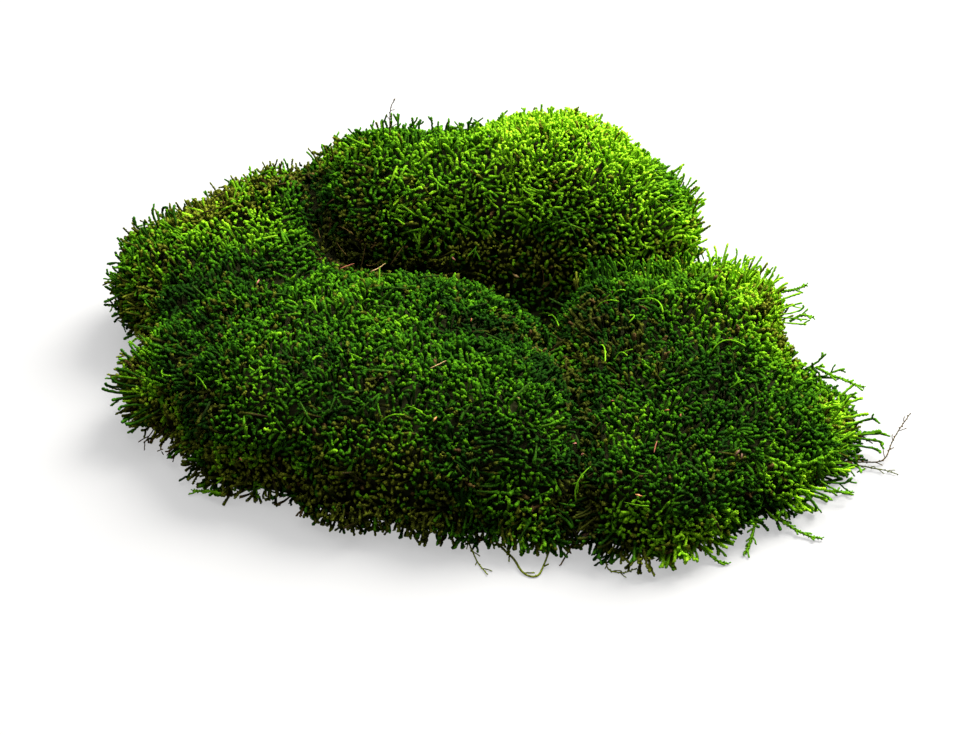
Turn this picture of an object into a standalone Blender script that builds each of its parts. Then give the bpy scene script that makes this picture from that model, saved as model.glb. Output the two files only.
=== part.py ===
"""A clump of carpet moss, laid on a flat surface.

The clump is three springy cushions of upright shoots that lean on each other: a tall one at the back, a broad
pillow from the left end to the front, and a long slope at the right. Dark clefts part them. Each cushion was
lifted off the ground it grew on, so its underside is flat. Longer shoots trail out of the rims, some along the
surface the clump lies on and some in the air, and a few fallen needles and straws lie on the moss.

Metres, +Z up. The origin is on the surface, below the middle of the clump. +X runs to the right and +Y to
the back.
"""

import bmesh
import bpy
from mathutils import Matrix, Vector

MM = 0.001

# Driving dimensions.
GRAIN = 8.0 * MM  # size of the facets that a cushion is made of
CLEFT = 0.6 * MM  # gap left where two cushions lean on each other
CLEARANCE = 0.6 * MM  # gap between a cushion's skin and what lies on it or trails from it
SHOOT_RADIUS = 0.8 * MM  # a leafy shoot, leaves included
STEM_RADIUS = 0.45 * MM  # an old stem that has lost its leaves
STRAW_RADIUS = 0.35 * MM  # a fallen needle or straw

# Relief of the moss surface: broad humps, and tufts of shoots on them.
HUMP_SIZE = 30.0 * MM
HUMP_HEIGHT = 6.0 * MM
TUFT_SIZE = 9.0 * MM
TUFT_HEIGHT = 4.0 * MM
MELT_FACTOR = 0.5
MELT_STEPS = 5

# The block that the flat underside is cut with.
GROUND_SIZE = 500.0 * MM
GROUND_DEPTH = 80.0 * MM

# The rounded swellings of each cushion: the middle (x, y, z) and the half sizes (x, y, z), in millimetres.
BACK_LOBES = (
    ((-60, 90, 24), (36, 32, 45)),
    ((-38, 80, 36), (46, 40, 46)),
    ((-6, 78, 36), (40, 38, 48)),
    ((28, 80, 40), (46, 42, 51)),
    ((58, 75, 28), (32, 35, 38)),
    ((8, 82, 12), (79, 48, 31)),
    ((6, 98, 10), (72, 36, 35)),
    ((27, 50, 6), (26, 30, 20)),
)
FRONT_LOBES = (
    ((-126, 58, 22), (35, 35, 29)),
    ((-108, 67, 24), (38, 35, 32)),
    ((-84, 76, 26), (36, 35, 39)),
    ((-92, 36, 18), (40, 38, 34)),
    ((-113, 22, 14), (29, 34, 31)),
    ((-88, 4, 16), (42, 36, 37)),
    ((-42, 2, 14), (74, 49, 40)),
    ((-88, -31, 17), (34, 39, 38)),
    ((-48, -38, 18), (42, 46, 39)),
    ((-6, -48, 18), (40, 47, 38)),
    ((18, -49, 12), (25, 50, 34)),
    ((-119, -13, 18), (32, 24, 25)),
)
RIGHT_LOBES = (
    ((60, 8, 20), (40, 38, 32)),
    ((92, 14, 20), (33, 38, 36)),
    ((62, -36, 14), (44, 46, 34)),
    ((84, -16, 16), (40, 40, 32)),
    ((64, -64, 14), (42, 41, 29)),
    ((98, -44, 10), (38, 38, 28)),
    ((115, -33, 4), (33, 27, 20)),
    ((124, -20, 4), (30, 28, 20)),
)

# Shoots that trail out of a cushion: the cushion, the radius, and the way out from the rim to the tip (x, y, z),
# in millimetres. The first point is moved onto the cushion's skin.
TRAILING_SHOOTS = {
    "runner": ("right_cushion", STEM_RADIUS, ((148, -40, 1.5), (153, -39, 2), (158, -31, 6), (165, -23, 13))),
    "runner_fork": ("right_cushion", STEM_RADIUS, ((146, -44, 1.2), (153, -44, 1.0), (158, -46, 0.8))),
    "right_shoot_low": ("right_cushion", SHOOT_RADIUS, ((131, -58, 3), (135, -58, 1.4), (139, -58, 1))),
    "right_shoot_high": ("right_cushion", SHOOT_RADIUS, ((132, -7, 15), (141, -7, 16), (149, -7, 14))),
    "fringe_shoot_1": ("right_cushion", SHOOT_RADIUS, ((118, 27, 38), (122, 26, 39), (128, 27, 41))),
    "fringe_shoot_2": ("right_cushion", SHOOT_RADIUS, ((122, 18, 31), (126, 17, 33), (130, 15, 33))),
    "corner_shoot": ("right_cushion", SHOOT_RADIUS, ((110, -79, 3), (118, -84, 1.6), (124, -86, 1))),
    "corner_stub": ("right_cushion", SHOOT_RADIUS, ((99, -88, 6), (96, -92, 3), (94, -95, 1))),
    "front_shoot": ("right_cushion", SHOOT_RADIUS, ((79, -95, 5), (83, -99, 2), (88, -100, 1))),
    "front_strand": ("right_cushion", STEM_RADIUS, ((43, -96, 3), (43, -102, 1), (48, -105, 0.6), (54, -103, 0.8))),
    "loop_shoot": (
        "front_cushion",
        STEM_RADIUS,
        ((4, -88, 5), (8, -97, 1.6), (12, -105, 0.8), (17, -107, 0.8), (20, -101, 1.2), (22, -95, 4)),
    ),
    "fallen_stem": ("front_cushion", STEM_RADIUS, ((28, -86, 6), (29, -94, 1.4), (26, -101, 0.8))),
    "thin_shoot": ("front_cushion", STEM_RADIUS, ((-8, -89, 4), (-5, -98, 1), (-1, -106, 0.6))),
    "left_shoot": ("front_cushion", SHOOT_RADIUS, ((-103, -58, 6), (-108, -59, 3), (-114, -57, 1))),
    "crest_stem": ("back_cushion", STEM_RADIUS, ((-42, 82, 86), (-41, 84, 90), (-39, 84, 95))),
}

# Fallen bits that lie on the moss: the cushion, and the way along it (x, y) in millimetres as seen from above.
FALLEN_BITS = {
    "needle_1": ("front_cushion", ((-61, 29), (-58, 30.5), (-55, 32))),
    "needle_2": ("right_cushion", ((60, -84), (60.5, -81.5), (61, -79))),
    "straw_1": ("front_cushion", ((-48, 24), (-45, 26), (-42, 28))),
    "straw_2": ("front_cushion", ((-22, -50), (-19, -48), (-16, -46))),
}


def clear_scene():
    for obj in list(bpy.data.objects):
        bpy.data.objects.remove(obj)


def collection(name):
    made = bpy.data.collections.new(name)
    bpy.context.scene.collection.children.link(made)
    return made


def material(name, colour, roughness):
    made = bpy.data.materials.new(name)
    made.use_nodes = True
    shader = made.node_tree.nodes["Principled BSDF"]
    shader.inputs["Base Color"].default_value = (*colour, 1.0)
    shader.inputs["Roughness"].default_value = roughness
    shader.inputs["Metallic"].default_value = 0.0
    return made


def swellings(name, lobes):
    """One mesh of overlapping balls, each stretched to a lobe's half sizes."""
    shape = bmesh.new()
    for middle, half in lobes:
        place = Matrix.LocRotScale(Vector(middle) * MM, None, Vector(half) * MM)
        bmesh.ops.create_uvsphere(shape, u_segments=32, v_segments=20, radius=1.0, matrix=place)
    mesh = bpy.data.meshes.new(name)
    shape.to_mesh(mesh)
    shape.free()
    return bpy.data.objects.new(name, mesh)


def add_relief(obj, name, kind, size, height):
    texture = bpy.data.textures.new(f"{obj.name}_{name}", kind)
    texture.noise_scale = size
    relief = obj.modifiers.new(name, "DISPLACE")
    relief.texture = texture
    relief.texture_coords = "LOCAL"
    relief.mid_level = 0.5
    relief.strength = height


def cushion(name, lobes, moss, shown):
    """A cushion: its lobes melted into one skin, with the humps and tufts of a moss surface."""
    obj = swellings(name, lobes)
    shown.objects.link(obj)
    obj.data.materials.append(moss)
    skin = obj.modifiers.new("one_skin", "REMESH")
    skin.mode = "VOXEL"
    skin.voxel_size = GRAIN
    melt = obj.modifiers.new("melted_creases", "SMOOTH")
    melt.factor = MELT_FACTOR
    melt.iterations = MELT_STEPS
    add_relief(obj, "humps", "CLOUDS", HUMP_SIZE, HUMP_HEIGHT)
    add_relief(obj, "tufts", "VORONOI", TUFT_SIZE, TUFT_HEIGHT)
    obj.modifiers.new("flat_facets", "TRIANGULATE")
    return obj


def as_cutter(obj, cutters):
    cutters.objects.link(obj)
    obj.hide_render = True
    obj.display_type = "WIRE"
    return obj


def room_for(neighbour, cutters):
    """The space that a cushion takes from the ones that lean on it: its own shape, swollen by the cleft."""
    room = neighbour.copy()
    room.name = f"room_for_{neighbour.name}"
    swell = room.modifiers.new("cleft", "DISPLACE")
    swell.mid_level = 0.0
    swell.strength = CLEFT
    return as_cutter(room, cutters)


def ground(cutters):
    shape = bmesh.new()
    size = Vector((GROUND_SIZE, GROUND_SIZE, GROUND_DEPTH))
    place = Matrix.LocRotScale(Vector((0.0, 0.0, -GROUND_DEPTH / 2)), None, size)
    bmesh.ops.create_cube(shape, size=1.0, matrix=place)
    mesh = bpy.data.meshes.new("ground")
    shape.to_mesh(mesh)
    shape.free()
    return as_cutter(bpy.data.objects.new("ground", mesh), cutters)


def cut(obj, cutter):
    boolean = obj.modifiers.new(f"less_{cutter.name}", "BOOLEAN")
    boolean.operation = "DIFFERENCE"
    boolean.solver = "EXACT"
    boolean.object = cutter


def on_skin(skin, point, lift):
    """The point of a cushion's skin nearest to the given one, lifted off along the skin's normal."""
    _, place, normal, _ = skin.closest_point_on_mesh(point)
    return place + normal * lift


def off_skin(skin, point, lift):
    """The point itself, or where it is under the skin or too near to it, the skin's point lifted off."""
    _, place, normal, _ = skin.closest_point_on_mesh(point)
    if (point - place).dot(normal) >= lift:
        return point
    return place + normal * lift


def from_above(skin, x, y, lift):
    """The point of a cushion's skin straight below a place in the air, lifted off it."""
    start = Vector((x, y, GROUND_SIZE))
    _, place, normal, _ = skin.ray_cast(start, Vector((0.0, 0.0, -1.0)))
    return place + normal * lift


def tube(name, points, radius, finish, shown):
    """A round tube along a smooth curve through the points, thinner towards its tip."""
    path = bpy.data.curves.new(name, "CURVE")
    path.dimensions = "3D"
    path.resolution_u = 3
    path.bevel_depth = radius
    path.bevel_resolution = 1
    path.use_fill_caps = True
    spline = path.splines.new("BEZIER")
    spline.bezier_points.add(len(points) - 1)
    for index, (knot, point) in enumerate(zip(spline.bezier_points, points)):
        knot.co = point
        knot.handle_left_type = "AUTO"
        knot.handle_right_type = "AUTO"
        knot.radius = 1.0 - 0.35 * index / (len(points) - 1)
    path.materials.append(finish)
    obj = bpy.data.objects.new(name, path)
    shown.objects.link(obj)
    return obj


def corners(obj, depsgraph):
    shape = obj.evaluated_get(depsgraph)
    mesh = shape.to_mesh()
    places = [vertex.co.copy() for vertex in mesh.vertices]
    shape.to_mesh_clear()
    return places


def centre_on_origin(pieces):
    """Hang every piece on one empty, moved so that the middle of the clump is above the origin."""
    depsgraph = bpy.context.evaluated_depsgraph_get()
    places = [place for piece in pieces for place in corners(piece, depsgraph)]
    middle_x = (min(place.x for place in places) + max(place.x for place in places)) / 2
    middle_y = (min(place.y for place in places) + max(place.y for place in places)) / 2
    base = bpy.data.objects.new("clump_base", None)
    base.location = (-middle_x, -middle_y, 0.0)
    bpy.context.scene.collection.objects.link(base)
    return base


def main():
    clear_scene()
    clump = collection("moss_clump")
    cutters = collection("cutters")
    moss = material("living_moss", (0.045, 0.13, 0.012), 0.75)
    stem = material("bare_stem", (0.16, 0.12, 0.04), 0.7)
    straw = material("dry_straw", (0.35, 0.16, 0.06), 0.6)

    cushions = {
        "front_cushion": cushion("front_cushion", FRONT_LOBES, moss, clump),
        "right_cushion": cushion("right_cushion", RIGHT_LOBES, moss, clump),
        "back_cushion": cushion("back_cushion", BACK_LOBES, moss, clump),
    }
    rooms = [room_for(obj, cutters) for obj in cushions.values()]
    below = ground(cutters)
    for index, obj in enumerate(cushions.values()):
        for room in rooms[:index]:
            cut(obj, room)
        cut(obj, below)

    depsgraph = bpy.context.evaluated_depsgraph_get()
    skins = {name: obj.evaluated_get(depsgraph) for name, obj in cushions.items()}
    pieces = list(cushions.values())
    for name, (grows_from, radius, way) in TRAILING_SHOOTS.items():
        skin = skins[grows_from]
        lift = CLEARANCE + radius
        start = on_skin(skin, Vector(way[0]) * MM, lift)
        points = [start] + [off_skin(skin, Vector(point) * MM, lift) for point in way[1:]]
        finish = moss if radius == SHOOT_RADIUS else stem
        pieces.append(tube(name, points, radius, finish, clump))
    for name, (lies_on, way) in FALLEN_BITS.items():
        lift = 2 * CLEARANCE + STRAW_RADIUS
        points = [from_above(skins[lies_on], x * MM, y * MM, lift) for x, y in way]
        pieces.append(tube(name, points, STRAW_RADIUS, straw, clump))

    base = centre_on_origin(pieces)
    for obj in pieces + rooms + [below]:
        obj.parent = base


main()
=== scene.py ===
"""The looks of a clump of carpet moss: each leafy shoot is a closed scaly rope, rooted in a brown mat.

Metres, +Z up, in the frame of the solids; sizes are given in millimetres, times MM. Each cushion is dressed
with shoots whose tips reach the skin of its solid. The colour of a shoot is a function of its UV map: U is
its tint, from dead brown over dark green to yellow-green, and V runs from its root to its tip. Besides the
moss's own colours, the tints and the ramp from root to tip carry painted light and shade: darker in clefts,
pits, hollows and the gaps between shoots, and paler on the lit crown and on shaded faces that are lifted.
"""

import math

import bpy
import numpy as np
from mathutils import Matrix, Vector
from mathutils.bvhtree import BVHTree
from mathutils.geometry import tessellate_polygon
from mathutils.kdtree import KDTree


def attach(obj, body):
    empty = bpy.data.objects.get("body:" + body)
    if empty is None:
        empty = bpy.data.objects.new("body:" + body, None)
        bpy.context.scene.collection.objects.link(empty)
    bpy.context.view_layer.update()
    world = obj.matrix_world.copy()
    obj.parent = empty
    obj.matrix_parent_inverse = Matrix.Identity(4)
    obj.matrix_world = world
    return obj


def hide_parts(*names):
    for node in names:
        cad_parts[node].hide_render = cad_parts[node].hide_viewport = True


MM = 0.001
UP = np.array((0.0, 0.0, 1.0))

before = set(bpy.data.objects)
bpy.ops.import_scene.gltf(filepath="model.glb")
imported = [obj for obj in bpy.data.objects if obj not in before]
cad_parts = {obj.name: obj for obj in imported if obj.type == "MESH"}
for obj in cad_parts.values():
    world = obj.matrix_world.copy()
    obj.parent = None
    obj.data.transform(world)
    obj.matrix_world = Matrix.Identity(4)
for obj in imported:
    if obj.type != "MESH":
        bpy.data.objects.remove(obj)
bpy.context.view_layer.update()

# ---------------------------------------------------------------- the camera and the picture's frame

PICTURE = (980, 735)  # width and height in pixels
LENS = 85.0  # millimetres, as is the sensor's width
SENSOR = 36.0
ELEVATION = math.radians(35.0)
DISTANCE = 0.925  # from the camera to what it is aimed at
AIM = Vector((-0.0025, -0.0127, 0.019))


def make_camera():
    data = bpy.data.cameras.new("camera")
    data.lens = LENS
    data.sensor_width = SENSOR
    data.clip_start = 0.01
    camera = bpy.data.objects.new("camera", data)
    back = Vector((0.0, -math.cos(ELEVATION), math.sin(ELEVATION)))
    camera.location = AIM + back * DISTANCE
    camera.rotation_mode = "QUATERNION"
    camera.rotation_quaternion = (-back).to_track_quat("-Z", "Y")
    bpy.context.scene.collection.objects.link(camera)
    bpy.context.scene.camera = camera
    return camera


def sight_line(camera, pixel):
    """Where the camera stands, and the way to what the picture shows at a pixel."""
    focal = LENS / SENSOR * PICTURE[0]
    aside = (pixel[0] - PICTURE[0] / 2) / focal
    above = (PICTURE[1] / 2 - pixel[1]) / focal
    way = camera.rotation_quaternion @ Vector((aside, above, -1.0))
    return camera.location, way.normalized()


# ---------------------------------------------------------------- small helpers on arrays of vectors


def unit(vectors):
    length = np.linalg.norm(vectors, axis=-1, keepdims=True)
    return vectors / np.maximum(length, 1e-9)


def smooth(value, low, high):
    """0 below low, 1 above high, and an S-curve between them."""
    t = np.clip((value - low) / (high - low), 0.0, 1.0)
    return t * t * (3.0 - 2.0 * t)


def waves(places, size, seed, count=12):
    """A soft random field from about -1 to 1 over places, with patches of the given size."""
    rng = np.random.default_rng(seed)
    ways = unit(rng.normal(size=(count, 3)))
    lengths = size * rng.uniform(0.7, 1.6, count)
    starts = rng.uniform(0.0, 2.0 * math.pi, count)
    phases = places @ (ways / lengths[:, None]).T * math.pi + starts
    return np.sin(phases).sum(axis=1) / math.sqrt(count / 2.0) / 1.6


def wave_vectors(places, size, seed):
    """Three such fields as the parts of a vector."""
    return np.stack([waves(places, size, seed + axis) for axis in range(3)], axis=1)


def column(values):
    return values[:, None]


def corners_of(points, triangles):
    return (points[triangles[:, i]] for i in range(3))


def sides_of(triangles):
    """The ends of each side: all the first sides, then all the second and all the third ones."""
    return np.concatenate([triangles[:, (i, (i + 1) % 3)] for i in range(3)])


def smooth_way(points, count):
    """Evenly spaced places along a smooth curve through the points."""
    ends = np.concatenate(([2 * points[0] - points[1]], points, [2 * points[-1] - points[-2]]))
    t = column(np.linspace(0.0, 1.0, 20, endpoint=False))
    fine = []
    for a, b, c, d in zip(ends, ends[1:], ends[2:], ends[3:]):
        square = 2 * a - 5 * b + 4 * c - d
        cube = 3 * b - a - 3 * c + d
        fine.append(0.5 * (2 * b + (c - a) * t + square * t**2 + cube * t**3))
    fine = np.concatenate(fine + [points[-1:]])
    reach = np.append(0.0, np.cumsum(np.linalg.norm(np.diff(fine, axis=0), axis=1)))
    marks = np.linspace(0.0, reach[-1], count)
    return np.stack([np.interp(marks, reach, fine[:, axis]) for axis in range(3)], axis=1)


# ---------------------------------------------------------------- meshes gathered from arrays

FLOOR_GAP = 0.2 * MM  # the least height of any point over the table
UV_MAP = "OFBake"


def mesh_object(name, points, triangles, uv, material):
    """A mesh from arrays: points (n, 3), triangles (m, 3) and one UV pair for each corner (m, 3, 2)."""
    mesh = bpy.data.meshes.new(name)
    mesh.vertices.add(len(points))
    mesh.vertices.foreach_set("co", np.asarray(points, np.float32).ravel())
    mesh.loops.add(3 * len(triangles))
    mesh.loops.foreach_set("vertex_index", np.asarray(triangles, np.int32).ravel())
    mesh.polygons.add(len(triangles))
    mesh.polygons.foreach_set("loop_start", np.arange(0, 3 * len(triangles), 3, dtype=np.int32))
    layer = mesh.uv_layers.new(name=UV_MAP)
    layer.data.foreach_set("uv", np.asarray(uv, np.float32).ravel())
    mesh.materials.append(material)
    mesh.update(calc_edges=True)
    mesh.validate()
    obj = bpy.data.objects.new(name, mesh)
    bpy.context.scene.collection.objects.link(obj)
    return obj


class Heap:
    """Closed meshes that are gathered one after another and made one object."""

    def __init__(self):
        self.points = []
        self.triangles = []
        self.uv = []
        self.count = 0

    def add(self, points, triangles, uv):
        self.points.append(points)
        self.triangles.append(triangles + self.count)
        self.uv.append(uv)
        self.count += len(points)

    def make(self, name, material, slot, *nodes):
        points = np.concatenate(self.points)
        points[:, 2] = np.maximum(points[:, 2], FLOOR_GAP)
        piece = mesh_object(name, points, np.concatenate(self.triangles), np.concatenate(self.uv), material)
        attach(piece, "root")
        if nodes:
            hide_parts(*nodes)


# ---------------------------------------------------------------- a leafy shoot as a scaly rope

TINT_SPREAD = 0.012  # how far U runs around one shoot
SIDES = 3  # how many sides a leafy shoot has
BARE_SIDES = 5  # and the stem of a trailing one


def bend(roots, elbows, tips, t):
    """The places at t along the curves from roots over elbows to tips."""
    return (1 - t) ** 2 * roots + 2 * t * (1 - t) * elbows + t**2 * tips


def bend_way(roots, elbows, tips, t):
    """The ways in which those curves run at t."""
    return unit((1 - t) * (elbows - roots) + t * (tips - elbows))


def rope_faces(rings, sides):
    """The triangles of one rope and their UV corners, with the side's number for U and the ring's for V."""
    faces = []
    for ring in range(rings - 1):
        for side in range(sides):
            low, next_low = ring * sides + side, ring * sides + (side + 1) % sides
            high, next_high = low + sides, next_low + sides
            middle, next_middle = (side + 0.5, ring + 1), (side + 1.5, ring + 1)
            faces.append(((low, next_low, high), ((side, ring), (side + 1, ring), middle)))
            faces.append(((high, next_low, next_high), (middle, (side + 1, ring), next_middle)))
    last = rings - 1
    for side in range(sides):
        low, next_low = last * sides + side, last * sides + (side + 1) % sides
        faces.append(((low, next_low, rings * sides), ((side, last), (side + 1, last), (side + 0.5, rings))))
    for side in range(2, sides):
        faces.append(((0, side, side - 1), ((0, 0), (side, 0), (side - 1, 0.1))))
    triangles, corners = zip(*faces)
    return np.array(triangles), np.array(corners, float)


def ropes(heap, centres, radii, tints, along, rng, sides=SIDES, rough=0.0, tangents=None, tips=None):
    """Closed ropes with a blunt tip, each ring turned half a side against the last, as whorls of leaves are.

    centres (n, k, 3), radii (n, k), tints (n), and along (k + 1), the V of each ring and of the tip. The
    corners of rough ropes stand out and forward unevenly, as the tips of leaves do.
    """
    count, rings, _ = centres.shape
    turn = rng.uniform(0.0, 2.0 * math.pi, count)
    if tangents is None:
        tangents = unit(np.gradient(centres, axis=1))
        tips = centres[:, -1] + tangents[:, -1] * radii[:, -1:] * 0.6
    across = unit(rng.normal(size=(count, 3)))
    aside = unit(np.cross(tangents, across[:, None]))
    other = np.cross(tangents, aside)
    corner = np.arange(sides) * 2.0 * math.pi / sides
    angles = turn[:, None, None] + column(np.arange(rings)) * math.pi / sides + corner
    uneven = rng.uniform(-rough, rough, (count, rings, sides))
    girth = radii[:, :, None] * (1.0 + uneven)
    ring_points = (
        centres[:, :, None]
        + (girth * np.cos(angles))[..., None] * aside[:, :, None]
        + (girth * np.sin(angles))[..., None] * other[:, :, None]
        + (radii[:, :, None] * uneven)[..., None] * tangents[:, :, None]
    )
    points = np.concatenate((ring_points.reshape(count, rings * sides, 3), tips[:, None]), axis=1)

    triangles, corners = rope_faces(rings, sides)
    corners[..., 1] = np.interp(corners[..., 1], np.arange(rings + 1), along)
    corners[..., 0] *= TINT_SPREAD / sides
    every = np.arange(count)[:, None, None] * (rings * sides + 1) + triangles[None]
    uv = np.repeat(corners[None], count, axis=0)
    uv[..., 0] += tints[:, None, None]
    heap.add(points.reshape(-1, 3), every.reshape(-1, 3), uv.reshape(-1, 3, 2))


class Profile:
    """Where the rings of a kind of shoot sit, how wide they are against its radius, and the V of each."""

    def __init__(self, steps, girth, first_v=0.0, rough=0.0):
        self.rough = rough
        self.steps = np.array(steps)
        self.girth = np.array(girth)
        self.along = first_v + (1.0 - first_v) * np.append(self.steps, 1.0)
        self.triangles = len(rope_faces(len(steps), SIDES)[0])


STEM = Profile((0.0, 0.48, 0.77, 0.96), (0.55, 0.86, 1.12, 1.00), rough=0.15)
BRANCHLET = Profile((0.0, 0.78), (0.70, 1.15), 0.60, rough=0.15)
LONG = Profile(
    (0.0, 0.16, 0.30, 0.43, 0.54, 0.64, 0.73, 0.81, 0.88, 0.95, 0.99),
    (0.50, 0.72, 0.92, 0.80, 1.02, 0.84, 1.08, 0.88, 1.08, 0.96, 0.60),
    0.34,
)
SIDE = Profile((0.0, 0.34, 0.62, 0.86, 0.98), (0.60, 0.98, 0.82, 1.05, 0.62), 0.40)

# How shoots branch: the kind of a side branch, the stretch of the shoot that branches come off, their least
# and greatest length, and how far they stand off.
TIPS_BRANCHED = (BRANCHLET, (0.62, 0.95), (1.6 * MM, 2.8 * MM), 1.0)
FEATHERED = (SIDE, (0.35, 0.85), (2.2 * MM, 4.6 * MM), 0.75)

LEAVES = 3  # on each standing shoot
LEAFY = (0.68, 0.98)  # the stretch of the shoot that they stand on
LEAF_TRIANGLES = len(rope_faces(1, SIDES)[0])
LEAF_REACH = (0.65 * MM, 1.05 * MM)
LEAF_TURN = 2.4  # how far each leaf is turned about its shoot against the last


def lifted(points, radius):
    """The points with none lower than lets a shoot of that radius lie on the table."""
    result = points.copy()
    result[..., 2] = np.maximum(result[..., 2], radius * 0.9 + FLOOR_GAP)
    return result


def shoots(heap, roots, elbows, tips, radius, tints, rng, profile=STEM):
    """Leafy shoots of one kind, each curved from its root over its elbow to its tip."""
    ends = (points[:, None] for points in (roots, lifted(elbows, radius), lifted(tips, radius)))
    centres = bend(*ends, column(profile.steps))
    ropes(heap, centres, column(radius) * profile.girth, tints, profile.along, rng, rough=profile.rough)


def side_shoots(heap, roots, elbows, tips, radius, tints, branches, plane, rng, kind):
    """Side branches that come off their shoots left and right by turns, as on a feather.

    branches (n) is how many each shoot has, and plane (n, 3) the normal of the plane they lie in.
    """
    profile, span, reach, spread = kind
    for number in range(int(branches.max(initial=0))):
        has = branches > number
        count = has.sum()
        t = column(span[0] + (span[1] - span[0]) * (number + rng.uniform(0.0, 0.8, count)) / branches[has])
        start = bend(roots[has], elbows[has], tips[has], t)
        forward = bend_way(roots[has], elbows[has], tips[has], t)
        aside = unit(np.cross(forward, plane[has])) * (-1.0) ** number
        way = unit(forward + aside * spread + rng.normal(size=start.shape) * 0.2)
        size = column(rng.uniform(*reach, count)) * (1.2 - 0.5 * t)
        end = start + (way + forward * 0.25) * size
        green = tints[has] > LEAST_GREEN
        tint = np.clip(tints[has] + rng.normal(0.0, 0.05, count) * green, green * LEAST_GREEN, MOST_GREEN)
        shoots(heap, start, start + way * size * 0.55, end, radius[has] * 0.8, tint, rng, profile)


def leaves(heap, roots, elbows, tips, radius, tints, rng):
    """Short pointed leaves that stand off each shoot all round towards its tip."""
    turn = rng.uniform(0.0, 2.0 * math.pi, len(roots))
    for row in range(LEAVES):
        t = column(LEAFY[0] + (LEAFY[1] - LEAFY[0]) * (row + rng.uniform(0.2, 0.8, len(roots))) / LEAVES)
        start = bend(roots, elbows, tips, t)
        forward = bend_way(roots, elbows, tips, t)
        aside = unit(np.cross(forward, (0.34, 0.21, 0.92)))
        angle = column(turn + row * LEAF_TURN)
        outward = np.cos(angle) * aside + np.sin(angle) * np.cross(forward, aside)
        ways = unit(forward + outward * rng.uniform(0.8, 1.3, (len(roots), 1)))
        start = start + outward * column(radius) * 0.4
        ends = lifted(start + ways * rng.uniform(*LEAF_REACH, (len(roots), 1)), 0.1 * MM)
        # Lower leaves take a lower V and so a darker colour: partly their older colour, partly painted shade.
        low = 0.50 + 0.35 * (row + 0.5) / LEAVES
        widths = column(radius) * 0.66
        ropes(heap, start[:, None], widths, tints, (low, low + 0.2), rng, tangents=ways[:, None], tips=ends)


class Shoots:
    """Arrays of shoots of one kind, with their side branches, that can be added to a heap in parts."""

    def __init__(self, roots, elbows, tips, radius, tints, branches, plane, profile=STEM, side=TIPS_BRANCHED):
        self.arrays = (roots, elbows, tips, radius, tints)
        self.branches = branches
        self.plane = plane
        self.profile = profile
        self.side = side
        self.leafy = profile is STEM
        each = profile.triangles + LEAVES * LEAF_TRIANGLES * self.leafy
        self.triangles = each * len(roots) + side[0].triangles * int(branches.sum())

    def add(self, heap, rows, rng):
        chosen = [array[rows] for array in self.arrays]
        shoots(heap, *chosen, rng, self.profile)
        if self.leafy:
            leaves(heap, *chosen, rng)
        side_shoots(heap, *chosen, self.branches[rows], self.plane[rows], rng, self.side)


# ---------------------------------------------------------------- materials

# Where each kind of tint lies along U: the mat, dead brown shoots, olive ones, and green ones from dark to
# pale by their vigour and by painted light and shade.
MAT_TINT = 0.004
DEAD = (0.03, 0.10)
OLIVE = (0.12, 0.29)
LEAST_GREEN = 0.31
GREEN_SPAN = 0.67
MOST_GREEN = LEAST_GREEN + GREEN_SPAN
LEAF_ROWS = 9.0  # rows of leaves along a shoot
LEAF_GLOW = 0.35  # the share of the light that shines through the leaves

# The colours at a shoot's tip, middle and root by its tint, in linear RGB. The root is darker and the tip
# paler, partly the shoot's own colour, old below and young at the tip, and partly painted shade low in the
# gaps between shoots and a painted highlight on the tips. The stops up to 0.02 are the mat's brown, darkened
# towards black as painted shade in the gaps.
TIP_COLOURS = (
    (0.00, (0.030, 0.035, 0.013)),
    (0.02, (0.030, 0.035, 0.013)),
    (0.03, (0.060, 0.036, 0.014)),
    (0.11, (0.150, 0.105, 0.030)),
    (0.12, (0.047, 0.062, 0.008)),
    (0.30, (0.208, 0.260, 0.020)),
    (0.31, (0.011, 0.048, 0.005)),
    (0.50, (0.038, 0.160, 0.005)),
    (0.62, (0.080, 0.258, 0.007)),
    (0.74, (0.148, 0.378, 0.010)),
    (0.87, (0.250, 0.550, 0.016)),
    (1.00, (0.415, 0.730, 0.026)),
)
MIDDLE_COLOURS = (
    (0.02, (0.030, 0.035, 0.013)),
    (0.03, (0.045, 0.027, 0.010)),
    (0.11, (0.080, 0.055, 0.016)),
    (0.12, (0.029, 0.036, 0.006)),
    (0.30, (0.084, 0.103, 0.009)),
    (0.31, (0.008, 0.030, 0.004)),
    (0.50, (0.022, 0.082, 0.005)),
    (0.65, (0.056, 0.190, 0.007)),
    (0.80, (0.158, 0.412, 0.010)),
    (1.00, (0.315, 0.680, 0.018)),
)
ROOT_COLOURS = (
    (0.02, (0.030, 0.035, 0.013)),
    (0.03, (0.036, 0.023, 0.012)),
    (0.30, (0.044, 0.038, 0.012)),
    (0.31, (0.020, 0.042, 0.009)),
    (0.60, (0.038, 0.105, 0.009)),
    (0.80, (0.130, 0.300, 0.012)),
    (1.00, (0.280, 0.560, 0.018)),
)

# Painted shade and highlight on the scales of a shoot: how its colour is darkened in the gaps between them
# and lightened at their tips.
SCALE_SHADE_AND_HIGHLIGHT = ((0.0, (0.58, 0.56, 0.55)), (0.45, (1.0, 1.0, 1.0)), (1.0, (1.30, 1.22, 1.30)))

# The colours of fallen litter by its tint, in linear RGB, and its streaks from end to end.
LITTER_COLOURS = (
    (0.10, (0.420, 0.150, 0.110)),
    (0.30, (0.250, 0.060, 0.025)),
    (0.50, (0.480, 0.200, 0.060)),
    (0.70, (0.400, 0.260, 0.100)),
    (0.90, (0.110, 0.050, 0.025)),
)
LITTER_STREAKS = (
    (0.0, (0.55, 0.5, 0.45)),
    (0.3, (1.0, 1.0, 1.0)),
    (0.7, (0.8, 0.8, 0.8)),
    (1.0, (1.0, 1.0, 1.0)),
)


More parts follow.
